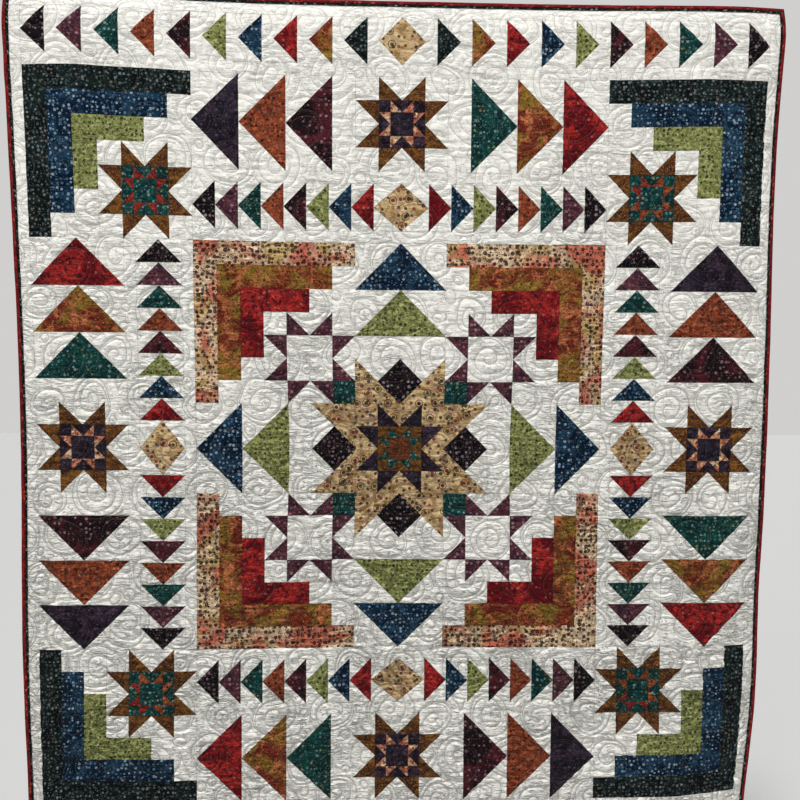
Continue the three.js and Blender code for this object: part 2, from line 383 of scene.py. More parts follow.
fabrics = {  # tones are colour, size of the patches in metres and share of the cloth
    "white": {
        "base": (238, 237, 230),
        "tones": [((226, 224, 216), 0.010, 0.5)],
        "grain": 0.08, "thread": (226, 225, 218),
        "dots": [],
    },
    "black": {
        "base": (9, 8, 11),
        "tones": [((26, 18, 24), 0.03, 0.4)],
        "grain": 0.4, "thread": (92, 86, 84),
        "dots": [
            dots(0.0115, (0.14, 0.32), 0.72, (136, 120, 124), (98, 74, 76)),
            dots(0.0055, (0.12, 0.28), 0.42, (112, 100, 104), (78, 62, 60)),
        ],
    },
    "mauve": {
        "base": (58, 33, 43),
        "tones": [((86, 46, 56), 0.03, 0.45)],
        "grain": 0.45, "thread": (128, 112, 112),
        "dots": [
            dots(0.0115, (0.14, 0.34), 0.7, (146, 112, 120), (104, 64, 74)),
            dots(0.0055, (0.10, 0.26), 0.4, (134, 102, 108), (92, 58, 66)),
        ],
    },
    "teal": {
        "base": (8, 43, 43),
        "tones": [((14, 62, 57), 0.03, 0.45)],
        "grain": 0.4, "thread": (104, 122, 116),
        "dots": [
            dots(0.0108, (0.14, 0.32), 0.78, (108, 138, 140), (46, 88, 86), (118, 116, 72)),
            dots(0.0055, (0.12, 0.28), 0.5, (92, 124, 124), (40, 84, 80)),
        ],
    },
    "orange": {
        "base": (136, 64, 38),
        "tones": [((104, 44, 28), 0.03, 0.45), ((164, 88, 60), 0.012, 0.25)],
        "grain": 0.45,
        "thread": (168, 122, 98),
        "dots": [
            dots(0.0115, (0.16, 0.36), 0.66, (30, 20, 19), (70, 42, 32), (84, 62, 52)),
            dots(0.0060, (0.12, 0.30), 0.42, (40, 24, 20), (82, 44, 28)),
        ],
    },
    "wine": {
        "base": (24, 15, 19),
        "tones": [((74, 26, 34), 0.07, 0.36)],
        "grain": 0.4, "thread": (104, 88, 88),
        "dots": [
            dots(0.0115, (0.14, 0.32), 0.6, (130, 104, 108), (92, 58, 62)),
            dots(0.0055, (0.10, 0.26), 0.42, (112, 86, 88), (86, 50, 54)),
        ],
    },
    "lime": {
        "base": (127, 133, 76),
        "tones": [((156, 159, 104), 0.014, 0.45), ((97, 105, 54), 0.008, 0.3)],
        "grain": 0.4,
        "thread": (158, 158, 118),
        "dots": [
            dots(0.0112, (0.18, 0.34), 0.7, (40, 40, 32), (72, 74, 48)),
            dots(0.0055, (0.12, 0.28), 0.35, (58, 60, 36), (150, 154, 104)),
        ],
    },
    "blue": {
        "base": (6, 25, 43),
        "tones": [((27, 56, 77), 0.05, 0.36)],
        "grain": 0.4, "thread": (98, 112, 122),
        "dots": [
            dots(0.0100, (0.17, 0.34), 0.8, (132, 152, 168), (62, 92, 118)),
            dots(0.0055, (0.12, 0.26), 0.38, (108, 132, 150), (50, 80, 106)),
        ],
    },
    "red": {
        "base": (96, 14, 22),
        "tones": [((164, 40, 38), 0.06, 0.5), ((74, 14, 22), 0.010, 0.3)],
        "grain": 0.4,
        "thread": (150, 88, 80),
        "dots": [
            dots(0.0115, (0.10, 0.28), 0.45, (170, 100, 88), (84, 50, 44), strength=0.6),
            dots(0.0055, (0.10, 0.26), 0.35, (156, 70, 60), (70, 18, 24), strength=0.5),
        ],
    },
    "rustGold": {
        "base": (104, 38, 26),
        "tones": [((128, 100, 40), 0.075, 0.46), ((168, 98, 62), 0.03, 0.26)],
        "grain": 0.5,
        "thread": (158, 122, 90),
        "dots": [
            dots(0.0110, (0.12, 0.28), 0.6, (48, 24, 18), (86, 50, 28), strength=0.85),
            dots(0.0052, (0.12, 0.28), 0.42, (66, 38, 24), (176, 130, 74), strength=0.7),
        ],
    },
    "spruce": {
        "base": (7, 14, 15),
        "tones": [((19, 32, 30), 0.05, 0.42)],
        "grain": 0.4, "thread": (86, 94, 92),
        "dots": [
            dots(0.0098, (0.17, 0.33), 0.86, (108, 120, 122), (64, 76, 76), (104, 98, 88)),
            dots(0.0055, (0.12, 0.28), 0.45, (82, 94, 98), (50, 64, 62)),
        ],
    },
    "gold": {
        "base": (198, 172, 126),
        "tones": [((158, 126, 80), 0.03, 0.40), ((186, 150, 120), 0.018, 0.25)],
        "grain": 0.24,
        "thread": (200, 184, 150),
        "dots": [
            dots(0.0165, (0.18, 0.27), 0.74, (58, 34, 28), (108, 52, 42), (62, 50, 76)),
            dots(0.0300, (0.14, 0.17), 0.6, (40, 24, 26), (104, 44, 36), (54, 50, 36), ring=(0.27, 0.032)),
        ],
    },
    "brown": {
        "base": (82, 44, 22),
        "tones": [((118, 76, 28), 0.05, 0.36), ((52, 28, 18), 0.016, 0.30), ((140, 104, 62), 0.0035, 0.14)],
        "grain": 0.3,
        "thread": (122, 94, 70),
        "dots": [dots(0.0050, (0.12, 0.30), 0.4, (44, 27, 18), (124, 82, 50), strength=0.6)],
    },
    "eggplant": {
        "base": (27, 19, 27),
        "tones": [((54, 40, 54), 0.030, 0.38), ((36, 34, 46), 0.05, 0.16)],
        "grain": 0.5,
        "thread": (86, 78, 86),
        "dots": [
            dots(0.0110, (0.12, 0.30), 0.5, (84, 80, 96), (92, 68, 88), strength=0.5),
            dots(0.0055, (0.10, 0.26), 0.4, (88, 80, 94), (70, 86, 94), strength=0.6),
        ],
    },
    "peach": {
        "base": (184, 112, 86),
        "tones": [((206, 178, 142), 0.035, 0.46), ((156, 80, 58), 0.012, 0.3)],
        "grain": 0.35, "thread": (204, 160, 134),
        "dots": [
            dots(0.0110, (0.16, 0.34), 0.55, (44, 24, 26), (92, 44, 36)),
            dots(0.0060, (0.12, 0.30), 0.4, (80, 42, 34), (128, 62, 48)),
        ],
    },
    "ember": {
        "base": (128, 30, 30),
        "tones": [((146, 80, 42), 0.16, 0.5), ((104, 34, 26), 0.010, 0.35)],
        "grain": 0.45,
        "thread": (168, 122, 98),
        "dots": [
            dots(0.0110, (0.12, 0.28), 0.5, (54, 26, 20), (92, 44, 30), strength=0.8),
            dots(0.0055, (0.12, 0.28), 0.4, (70, 34, 24), (178, 110, 70), strength=0.7),
        ],
    },
    "creamPrint": {
        "base": (214, 187, 155),
        "tones": [((182, 154, 100), 0.06, 0.30), ((188, 104, 82), 0.09, 0.38)],
        "grain": 0.25,
        "thread": (206, 186, 154),
        "dots": [
            dots(0.0072, (0.14, 0.36), 0.6, (44, 30, 27), (112, 68, 48)),
            dots(0.0122, (0.24, 0.40), 0.8, (20, 14, 16), (38, 23, 25), (70, 42, 36)),
            dots(0.0170, (0.11, 0.15), 0.35, (34, 22, 24), (74, 40, 34), ring=(0.27, 0.032)),
        ],
    },
    "amber": {
        "base": (108, 71, 32),
        "tones": [((80, 49, 25), 0.012, 0.45)],
        "grain": 0.5, "thread": (130, 100, 72),
        "dots": [dots(0.0050, (0.12, 0.30), 0.4, (52, 31, 18), (142, 100, 52), strength=0.6)],
    },
    "rust": {
        "base": (102, 55, 31),
        "tones": [((76, 44, 26), 0.010, 0.45)],
        "grain": 0.5, "thread": (130, 94, 72),
        "dots": [dots(0.0050, (0.12, 0.30), 0.45, (148, 84, 56), (54, 31, 21), strength=0.6)],
    },
    "bindingRed": {
        "base": (108, 22, 27),
        "tones": [((134, 34, 33), 0.02, 0.45)],
        "grain": 0.45, "thread": (150, 84, 70),
        "dots": [dots(0.0095, (0.14, 0.34), 0.45, (170, 76, 48), (60, 14, 22))],
    },
    "backing": {
        "base": (238, 232, 217),
        "tones": [((228, 220, 203), 0.03, 0.5)],
        "grain": 0.07, "thread": (214, 208, 196),
        "dots": [],
    },
}
fabricNames = [name for name in fabrics if name != "bindingRed"]


class Nodes:  # a short way to add nodes to one material and join them
    def __init__(self, material):
        material.use_nodes = True
        self.tree = material.node_tree
        self.shader = self.tree.nodes["Principled BSDF"]

    def fill(self, node, inputs):  # joins what is a socket and sets what is a value
        for key, value in inputs.items():
            if isinstance(value, bpy.types.NodeSocket):
                self.tree.links.new(value, node.inputs[key])
            else:
                node.inputs[key].default_value = value
        return node

    def add(self, kind, inputs=None, **settings):
        node = self.tree.nodes.new(kind)
        for key, value in settings.items():
            setattr(node, key, value)
        return self.fill(node, inputs or {})

    def math(self, operation, first, second=0.0, third=0.0):
        inputs = {0: first, 1: second}
        if operation == "MULTIPLY_ADD":
            inputs[2] = third
        return self.add("ShaderNodeMath", inputs, operation=operation).outputs[0]

    def mix(self, share, low, high):
        node = self.add("ShaderNodeMix", {0: share, 6: low, 7: high}, data_type="RGBA")
        return node.outputs[2]

    def noise(self, place, scale, detail, roughness, distortion):
        inputs = {"Vector": place, "Scale": scale, "Detail": detail}
        inputs.update({"Roughness": roughness, "Distortion": distortion})
        return self.add("ShaderNodeTexNoise", inputs, noise_dimensions="2D").outputs[0]

    def spread(self, value, low, high, toLow=0.0, toHigh=1.0):
        inputs = {0: value, 1: low, 2: high, 3: toLow, 4: toHigh}
        return self.add("ShaderNodeMapRange", inputs, interpolation_type="SMOOTHSTEP").outputs[0]

    def stretched(self, place, scale):
        return self.add("ShaderNodeVectorMath", {0: place, 1: scale}, operation="MULTIPLY").outputs[0]

    def moved(self, place, across, up):
        return self.add("ShaderNodeVectorMath", {0: place, 1: (across, up, 0)}, operation="ADD").outputs[0]


printing = {  # how the mottling and the dots of every print are laid
    "mottleShift": (0.7, 0.3),
    "mottleEdge": 0.09,
    "grainScale": 280,
    "dotShift": (0.31, 0.17),
    "dotScatter": 0.75,
    "dotEdge": (0.03, -0.04),
    "ringEdge": 0.012,
    "dotStrength": 0.9,
    "thirdTint": 0.75,
}


def dotLayer(nodes, cloth, colour, layer, shift):  # dots over a colour, some with a ring round them
    inputs = {"Vector": nodes.moved(cloth, shift, 0.37 * shift), "Scale": 1 / layer["cell"]}
    inputs["Randomness"] = printing["dotScatter"]
    cells = nodes.add("ShaderNodeTexVoronoi", inputs, voronoi_dimensions="2D")
    random = nodes.add("ShaderNodeSeparateColor", {0: cells.outputs["Color"]})
    low, high = layer["radius"]
    radius = nodes.math("MULTIPLY_ADD", random.outputs[0], high - low, low)
    mask = nodes.spread(nodes.math("SUBTRACT", cells.outputs["Distance"], radius), *printing["dotEdge"])
    if "ring" in layer:
        ring, half = layer["ring"]
        off = nodes.math("ABSOLUTE", nodes.math("SUBTRACT", cells.outputs["Distance"], ring))
        ringMask = nodes.spread(off, half + printing["ringEdge"], half - printing["ringEdge"])
        mask = nodes.math("MAXIMUM", mask, ringMask)
    mask = nodes.math("MULTIPLY", mask, nodes.math("LESS_THAN", random.outputs[1], layer["share"]))
    mask = nodes.math("MULTIPLY", mask, layer.get("strength", printing["dotStrength"]))
    tints = [linear(tint) for tint in layer["colours"]]
    tint = nodes.mix(nodes.math("GREATER_THAN", random.outputs[2], 1 / len(tints)), tints[0], tints[1])
    if len(tints) > 2:
        tint = nodes.mix(nodes.math("GREATER_THAN", random.outputs[2], printing["thirdTint"]), tint, tints[2])
    return nodes.mix(mask, colour, tint)


stitching = {  # painted shade where the cloth dips along the lines, with the thread's short stitches in them
    "dip": (0.0013, 0.0002),
    "dipDepth": 1.15,
    "dipShade": 0.5,
    "shallowerLessShaded": (0.9, 0.62, -0.2),  # height and share at the head, height below which they are full; the dips' painted shade is paler towards the head, for how the light falls there
    "dipShadeColour": (40, 38, 36),
    "thread": (0.0006, 0.0003),
    "threadShare": 0.40,
    "length": 0.003,
    "sewn": 0.84,  # share of a stitch's length that shows
}


def stitchDistance(nodes):  # to the nearest stitched line, and the place along a stitch
    place = nodes.add("ShaderNodeAttribute", attribute_name="motif").outputs["Vector"]
    parts = nodes.add("ShaderNodeSeparateXYZ", {0: place})
    x, y, radius = parts.outputs
    away = nodes.math("SQRT", nodes.math("ADD", nodes.math("MULTIPLY", x, x), nodes.math("MULTIPLY", y, y)))
    beyond = nodes.math("SUBTRACT", away, radius)
    outside = nodes.math("GREATER_THAN", beyond, 0)
    share = nodes.math("DIVIDE", nodes.math("ABSOLUTE", beyond), quilting["pitch"])
    turn = nodes.math("DIVIDE", nodes.math("ARCTAN2", y, x), 2 * math.pi)
    turn = nodes.math("MULTIPLY", turn, nodes.math("SUBTRACT", 1, outside))
    phase = nodes.math("ADD", share, turn)
    line = nodes.math("ABSOLUTE", nodes.math("SUBTRACT", phase, nodes.math("ROUND", phase)))
    line = nodes.math("MULTIPLY", line, quilting["pitch"])
    limit = nodes.math("MULTIPLY_ADD", outside, 1.0, nodes.math("ABSOLUTE", beyond))
    line = nodes.math("MINIMUM", line, limit)
    heart = nodes.math("SUBTRACT", quilting["heart"], away)
    along = nodes.math("MULTIPLY", nodes.math("ARCTAN2", y, x), away)
    stitch = nodes.math("FRACT", nodes.math("DIVIDE", along, stitching["length"]))
    return nodes.math("MAXIMUM", line, heart), stitch


weaving = {
    "scales": ((1500, 220, 1), (220, 1500, 1)),  # slubs of the plain weave, in both directions
    "shade": 0.08,
    "shadeColour": (20, 18, 18),
    "roughness": (0.86, 0.97),
    "finish": {"Specular IOR Level": 0.05, "Sheen Weight": 0.01, "Sheen Roughness": 0.5},
    "bump": {"Distance": 0.0001, "Strength": 0.5},
}
wrinkles = {  # level ones that the quilting draws in, more of them towards the foot, with painted shade in their creases
    "waveScale": (24, 112, 1),
    "crackleScale": (100, 250, 1),
    "patchScale": 6.5,
    "head": (0.9, 0.42),  # height and strength
    "foot": (-0.6, 1.9),
    "byStitches": (0.006, 0.42),  # within this reach of a stitched line they are this weak
    "creaseHalf": 0.035,
    "creaseShade": 0.30,
    "creaseShadeColour": (52, 50, 47),
    "waveRise": 6.6,
    "crackleRise": 2.5,
    "creaseDepth": 3.2,
    "bump": {"Distance": 0.0011, "Strength": 0.9},
}
# painted shade along the seams, where the cloth sinks into them
seamShade = {"reach": (0.70, 0.97), "shade": 0.30, "colour": (30, 28, 26)}


def clothMaterial(name, look, quilted=True):
    material = bpy.data.materials.new(name)
    nodes = Nodes(material)
    cloth = nodes.add("ShaderNodeUVMap", uv_map="cloth").outputs[0]
    colour = linear(look["base"])
    shiftX, shiftY = printing["mottleShift"]
    for index, (tone, size, cover) in enumerate(look["tones"]):
        mottle = nodes.noise(nodes.moved(cloth, shiftX * index, shiftY * index), 1 / size, 4, 0.6, 0.5)
        low = 0.5 + 0.3 * (0.5 - cover) - printing["mottleEdge"]
        colour = nodes.mix(nodes.spread(mottle, low, low + 2 * printing["mottleEdge"]), colour, linear(tone))
    grain = nodes.noise(cloth, printing["grainScale"], 3, 0.68, 0.8)
    bright = nodes.spread(grain, 0.32, 0.68, 1 - look["grain"], 1 + look["grain"])
    colour = nodes.add("ShaderNodeVectorMath", {0: colour, "Scale": bright}, operation="SCALE").outputs[0]
    first, further = printing["dotShift"]
    for index, layer in enumerate(look["dots"]):
        colour = dotLayer(nodes, cloth, colour, layer, first + further * index)
    threads = [nodes.noise(nodes.stretched(cloth, scale), 1.0, 1, 0.5, 0.0) for scale in weaving["scales"]]
    weave = nodes.math("ADD", *threads)
    shade = nodes.spread(weave, 0.7, 1.3, 0.0, weaving["shade"])
    colour = nodes.mix(shade, colour, linear(weaving["shadeColour"]))
    # Wrinkles, as height and as painted shade in their creases
    wave = nodes.noise(nodes.stretched(cloth, wrinkles["waveScale"]), 1.0, 3, 0.58, 0.9)
    crackle = nodes.noise(nodes.stretched(cloth, wrinkles["crackleScale"]), 1.0, 2, 0.6, 0.6)
    offCrease = nodes.math("ABSOLUTE", nodes.math("SUBTRACT", wave, 0.5))
    crease = nodes.spread(offCrease, 0.0, wrinkles["creaseHalf"], 1.0, 0.0)
    heightUp = nodes.add("ShaderNodeSeparateXYZ", {0: cloth}).outputs[1]
    (headUp, headShare), (footUp, footShare) = wrinkles["head"], wrinkles["foot"]
    downwards = nodes.spread(heightUp, headUp, footUp, headShare, footShare)
    patchy = nodes.spread(nodes.noise(cloth, wrinkles["patchScale"], 1, 0.5, 0.0), 0.36, 0.62, 0.5, 1.0)
    gather = nodes.math("MULTIPLY", downwards, patchy)
    if quilted:
        line, stitch = stitchDistance(nodes)
        reach, least = wrinkles["byStitches"]
        gather = nodes.math("MULTIPLY", gather, nodes.spread(line, 0.0, reach, least, 1.0))
    crease = nodes.math("MULTIPLY", crease, gather)
    # painted shade: the cloth's colour is darkened along each crease
    shade = nodes.math("MULTIPLY", crease, wrinkles["creaseShade"])
    colour = nodes.mix(shade, colour, linear(wrinkles["creaseShadeColour"]))
    waveRise = nodes.math("MULTIPLY", wave, wrinkles["waveRise"])
    folds = nodes.math("MULTIPLY_ADD", crackle, wrinkles["crackleRise"], waveRise)
    creaseDepth = nodes.math("MULTIPLY", crease, wrinkles["creaseDepth"])
    height = nodes.math("SUBTRACT", nodes.math("MULTIPLY", folds, gather), creaseDepth)
    # Stitched lines, and the seams between patches, both with painted shade in their dips
    if quilted:
        # the dips are shallower towards the head, and their painted shade is paler there
        topUp, topShare, fullUp = stitching["shallowerLessShaded"]
        shallowerLessShaded = nodes.spread(heightUp, topUp, fullUp, topShare, 1.0)
        dip = nodes.math("MULTIPLY", nodes.spread(line, *stitching["dip"]), shallowerLessShaded)
        height = nodes.math("SUBTRACT", height, nodes.math("MULTIPLY", dip, stitching["dipDepth"]))
        # painted shade in the dip along each stitched line
        shade = nodes.math("MULTIPLY", dip, stitching["dipShade"])
        colour = nodes.mix(shade, colour, linear(stitching["dipShadeColour"]))
        thread = nodes.spread(line, *stitching["thread"])
        thread = nodes.math("MULTIPLY", thread, nodes.math("LESS_THAN", stitch, stitching["sewn"]))
        share = nodes.math("MULTIPLY", thread, stitching["threadShare"])
        colour = nodes.mix(share, colour, linear(look["thread"]))
        # painted shade along the seams between patches
        seam = nodes.add("ShaderNodeAttribute", attribute_name="seam").outputs["Fac"]
        shade = nodes.spread(seam, *seamShade["reach"], 0.0, seamShade["shade"])
        colour = nodes.mix(shade, colour, linear(seamShade["colour"]))
    rough = nodes.spread(weave, 0.6, 1.4, *weaving["roughness"])
    bump = nodes.add("ShaderNodeBump", {"Height": height, **wrinkles["bump"]})
    fine = nodes.add("ShaderNodeBump", {"Height": weave, "Normal": bump.outputs[0], **weaving["bump"]})
    inputs = {"Base Color": colour, "Roughness": rough, "Normal": fine.outputs[0], **weaving["finish"]}
    nodes.fill(nodes.shader, inputs)
    return material


materials = {name: clothMaterial(name, look) for name, look in fabrics.items() if name != "bindingRed"}
materials["bindingRed"] = clothMaterial("bindingRed", fabrics["bindingRed"], quilted=False)
materials["flangeSpruce"] = clothMaterial("flangeSpruce", fabrics["spruce"], quilted=False)
print("materials:", len(materials))

# The quilted sheet, in sections that meet along the seams of the block grid
sheet = {
    "acrossCuts": [-16.75, -9, -2, 2, 9, 16.75],
    "upCuts": [-19.25, -9, -2, 2, 9, 19.25],
    "acrossNames": ["Left", "InnerLeft", "Middle", "InnerRight", "Right"],
    "upNames": ["Foot", "Lower", "Centre", "Upper", "Head"],
    "frontCells": 16,  # cells to a square on the front
    "backCells": 8,
    "half": 0.0022,
    "rimHalf": 0.0016,
    "rimFade": 0.022,
    "puffUneven": 0.25,
    "puffPatch": 0.06,
    "crinkleRise": 0.0023,
    "crinkleSize": (0.045, 0.012),  # across and up
    "crinkleSway": 0.008,
    "swaySize": 0.05,
    "crinklePatch": 0.17,
    "seamDitch": 0.0006,
    "backPuff": 0.45,
}


def splitOnSeams(bm, cells):  # cuts the square cells that a slanted seam crosses, along that seam
    third = 1 / cells / 3
    bm.faces.ensure_lookup_table()
    middles = np.array([face.calc_center_median().xy for face in bm.faces])
    kinds = [
        fabricAt(middles[:, 0] + dx, middles[:, 1] + dy, fabricNames)
        for dx, dy in ((-third, 0), (third, 0), (0, third), (0, -third))
    ]
    onLeft, onRight, onTop, onBottom = kinds
    rising = (onLeft == onTop) & (onRight == onBottom) & (onLeft != onRight)
    falling = (onLeft == onBottom) & (onRight == onTop) & (onLeft != onRight)
    for face, up, down in zip(list(bm.faces), rising.tolist(), falling.tolist()):
        if up or down:
            slope = 1 if up else -1
            ends = sorted(face.verts, key=lambda v: v.co.x + slope * v.co.y)
            bmesh.utils.face_split(face, ends[0], ends[-1])


def openEdges(faces):
    return [edge for edge in {edge for face in faces for edge in face.edges} if len(edge.link_faces) == 1]


def makeSection(name, left, low, right, high):
    bm = bmesh.new()
    place = Matrix.Translation(((left + right) / 2, (low + high) / 2, 1))
    place = place @ Matrix.Diagonal(((right - left) / 2, (high - low) / 2, 1, 1))
    cells = sheet["frontCells"]
    counts = {"x_segments": round((right - left) * cells), "y_segments": round((high - low) * cells)}
    bmesh.ops.create_grid(bm, size=1, matrix=place, **counts)
    splitOnSeams(bm, cells)
    frontFaces = list(bm.faces)
    frontRim = openEdges(frontFaces)
    cells = sheet["backCells"]
    counts = {"x_segments": round((right - left) * cells), "y_segments": round((high - low) * cells)}
    bmesh.ops.create_grid(bm, size=1, matrix=Matrix.Translation((0, 0, -2)) @ place, **counts)
    known = set(frontFaces)
    backFaces = [face for face in bm.faces if face not in known]
    bmesh.ops.reverse_faces(bm, faces=backFaces)
    cuts = sheet["frontCells"] // sheet["backCells"] - 1
    bmesh.ops.subdivide_edges(bm, edges=openEdges(backFaces), cuts=cuts)
    backFaces = [face for face in bm.faces if face not in known]
    backRim = openEdges(backFaces)
    bmesh.ops.bridge_loops(bm, edges=frontRim + backRim)
    for face in bm.faces:
        face.smooth = True
    for edge in frontRim + backRim:
        edge.smooth = False
    mesh = bpy.data.meshes.new(name)
    bm.to_mesh(mesh)
    bm.free()
    return mesh


def onSeams(x, y, slack=1e-3):
    found = np.zeros(len(x), dtype=bool)
    for (ax, ay), (bx, by) in seams:
        length = math.hypot(bx - ax, by - ay)
        along = ((x - ax) * (bx - ax) + (y - ay) * (by - ay)) / length
        away = np.abs((x - ax) * (by - ay) - (y - ay) * (bx - ax)) / length
        found |= (away < slack) & (along > -slack) & (along < length + slack)
    return found


def reliefAt(across, up, side, seam, fromLine):  # how far a face stands off the middle layer
    inside = np.minimum(halfWidth - np.abs(across), halfHeight - np.abs(up))
    fade = np.clip(inside / sheet["rimFade"], 0, 1)  # relief fades into the pressed rim
    fade = fade * fade * (3 - 2 * fade)
    puff = quilting["puffRise"] * (1 - np.exp(-((fromLine / quilting["puffSoft"]) ** 1.15)))
    puff *= 1 + sheet["puffUneven"] * softNoise(across / sheet["puffPatch"], up / sheet["puffPatch"], 5)
    sway = sheet["crinkleSway"] * softNoise(across / sheet["swaySize"], up / sheet["swaySize"], 3)
    wide, high = sheet["crinkleSize"]
    ridges = 1 - 2 * np.abs(softNoise(across / wide + 7, (up + sway) / high, 4))
    patchy = softNoise(across / sheet["crinklePatch"], up / sheet["crinklePatch"], 6)
    crinkle = sheet["crinkleRise"] * ridges * (0.65 + 0.5 * patchy - 0.2 * up / halfHeight)
    half = sheet["rimHalf"] + (sheet["half"] - sheet["rimHalf"]) * fade
    front = half + (puff + crinkle) * fade - sheet["seamDitch"] * seam * fade
    back = half + sheet["backPuff"] * puff * fade
    return np.where(side > 0, front, -back)


# Where a section's front, back and walls lie on its map for baking
bakeMap = {
    "front": (0.01, 0.98, 0.27, 0.72),  # left, width, foot, height
    "back": (0.01, 0.88, 0.01, 0.24),
    "wall": (0.93, 0.02),
}


def shapeSection(mesh):  # moves a drafted section to where it hangs, with its fabrics, maps and stitching
    count = len(mesh.vertices)
    drafted = np.empty(count * 3, dtype=np.float64)
    mesh.vertices.foreach_get("co", drafted)
    drafted = drafted.reshape(-1, 3)
    x, y, side = drafted[:, 0], drafted[:, 1], np.sign(drafted[:, 2])
    faceCount = len(mesh.polygons)
    middles = np.empty(faceCount * 3)
    mesh.polygons.foreach_get("center", middles)
    middles = middles.reshape(-1, 3)
    kinds = fabricAt(middles[:, 0], middles[:, 1], fabricNames)
    kinds[middles[:, 2] < 0.5] = fabricNames.index("backing")

    # Seams, stitched lines and relief
    spreadX, spreadY = spreadRows(x, y)
    across, up = spreadX * square, spreadY * square
    wobbledAcross, wobbledUp = wobbled(across, up)
    fromLine = lineDistance(motifPlace(wobbledAcross, wobbledUp, nearestMotif(wobbledAcross, wobbledUp)))
    seam = (onSeams(x, y) & (side > 0)).astype(float)
    lift = reliefAt(across, up, side, seam, fromLine)
    places = drape(across, up) + frontNormal(across, up) * lift[:, None]
    mesh.vertices.foreach_set("co", places.astype(np.float32).ravel())
    attribute = mesh.attributes.new("seam", "FLOAT", "POINT")
    attribute.data.foreach_set("value", seam.astype(np.float32))

    # Cloth map in metres, and a map of the whole section for baking
    corners = np.empty(len(mesh.loops), dtype=np.int32)
    mesh.loops.foreach_get("vertex_index", corners)
    sides = np.empty(faceCount, dtype=np.int32)
    mesh.polygons.foreach_get("loop_total", sides)
    faceAcross, faceUp = spreadRows(middles[:, 0], middles[:, 1])
    owner = nearestMotif(*wobbled(faceAcross * square, faceUp * square))
    place = motifPlace(wobbledAcross[corners], wobbledUp[corners], np.repeat(owner, sides))
    motif = mesh.attributes.new("motif", "FLOAT_VECTOR", "CORNER")
    motif.data.foreach_set("vector", place.astype(np.float32).ravel())
    cloth = mesh.uv_layers.new(name="cloth")
    cloth.data.foreach_set("uv", np.stack([across, up], axis=1)[corners].astype(np.float32).ravel())
    whole = mesh.uv_layers.new(name="OFBake")
    level = np.repeat(middles[:, 2], sides)
    shareX = ((x - x.min()) / (x.max() - x.min()))[corners]
    shareY = ((y - y.min()) / (y.max() - y.min()))[corners]
    depth = (side[corners] + 1) / 2
    onFront, onBack = level > 0.9, level < -0.9
    left, wide, foot, high = bakeMap["front"]
    backLeft, backWide, backFoot, backHigh = bakeMap["back"]
    wallLeft, wallStep = bakeMap["wall"]
    mapU = np.where(onBack, backLeft + backWide * shareX, wallLeft + wallStep * (depth + shareX))
    mapU = np.where(onFront, left + wide * shareX, mapU)
    mapV = np.where(onFront, foot + high * shareY, backFoot + backHigh * shareY)
    whole.data.foreach_set("uv", np.stack([mapU, mapV], axis=1).astype(np.float32).ravel())
    mesh.uv_layers.active = cloth

    used = sorted(set(kinds.tolist()))
    for kind in used:
        mesh.materials.append(materials[fabricNames[kind]])
    slots = np.searchsorted(used, kinds)
    mesh.polygons.foreach_set("material_index", slots.astype(np.int32))
    mesh.update()


def addObject(mesh):
    piece = bpy.data.objects.new(mesh.name, mesh)
    bpy.context.scene.collection.objects.link(piece)
    return piece


for row, upName in enumerate(sheet["upNames"]):
    for column, acrossName in enumerate(sheet["acrossNames"]):
        left, right = sheet["acrossCuts"][column: column + 2]
        low, high = sheet["upCuts"][row: row + 2]
        mesh = makeSection(f"quilt{upName}{acrossName}", left, low, right, high)
        shapeSection(mesh)
        piece = addObject(mesh)
        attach(piece, "root")
        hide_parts("quilt_body")
        piece["flatSize"] = ((right - left) * square, (high - low) * square)
    print("quilt row done:", upName)

# Flange and binding round the edge
edge = {
    "station": 0.004,
    "cloth": 0.0009,
    "air": 0.00037,
    "bindingCrown": 0.0006,
    "bindingFold": 0.0024,
    "bindingTuck": 0.0004,
    "bindingSway": 0.0004,
    "bindingPucker": 0.00035,
    "flangeLift": 0.0007,
    "flangeWave": 0.0006,
}
flangeBottom = sheet["rimHalf"] + edge["air"]
flangeTop = flangeBottom + edge["cloth"]
bindingBottom = flangeTop + edge["air"]
bindingTop = bindingBottom + edge["cloth"]
backInside = -sheet["rimHalf"] - edge["air"]
backOutside = backInside - edge["cloth"]


# A strip's section, as how far out and how high above the middle layer
def bindingSection():  # outer skin over the fold and back, then the inner skin home
    middle, reach = (bindingTop + backOutside) / 2, (bindingTop - backOutside) / 2
    tuck = edge["bindingTuck"]
    foldFrom = rimReach - edge["bindingFold"]
    turnAt = rimReach - edge["cloth"] - tuck
    points = [(flangeShow + 0.0001, bindingBottom + 0.0004)]
    for t in np.linspace(0, 1, 6):
        crown = edge["bindingCrown"] * math.sin(math.pi * t) * 0.8
        points.append((flangeShow + tuck + t * (foldFrom - flangeShow - tuck), bindingTop + crown))
    for angle in np.radians(np.linspace(70, -90, 8)):
        points.append((foldFrom + (rimReach - foldFrom) * math.cos(angle), middle + reach * math.sin(angle)))
    points += [(flangeShow + 0.003, backOutside), (flangeShow, backOutside + 0.0003)]
    points += [(flangeShow, backInside), (turnAt, backInside)]
    points += [(turnAt, bindingBottom), (flangeShow + 0.0006, bindingBottom)]
    return points


def flangeSection():
    reach = rimReach - edge["cloth"] - edge["air"] - edge["bindingTuck"]
    points = [(0, flangeBottom + 0.0003), (0.0003, flangeBottom)]
    points += [(flangeShow, flangeBottom), (reach, flangeBottom), (reach, flangeTop), (flangeShow, flangeTop)]
    points += [(0.0025, flangeTop + 0.0001), (0.0003, flangeTop)]
    return points


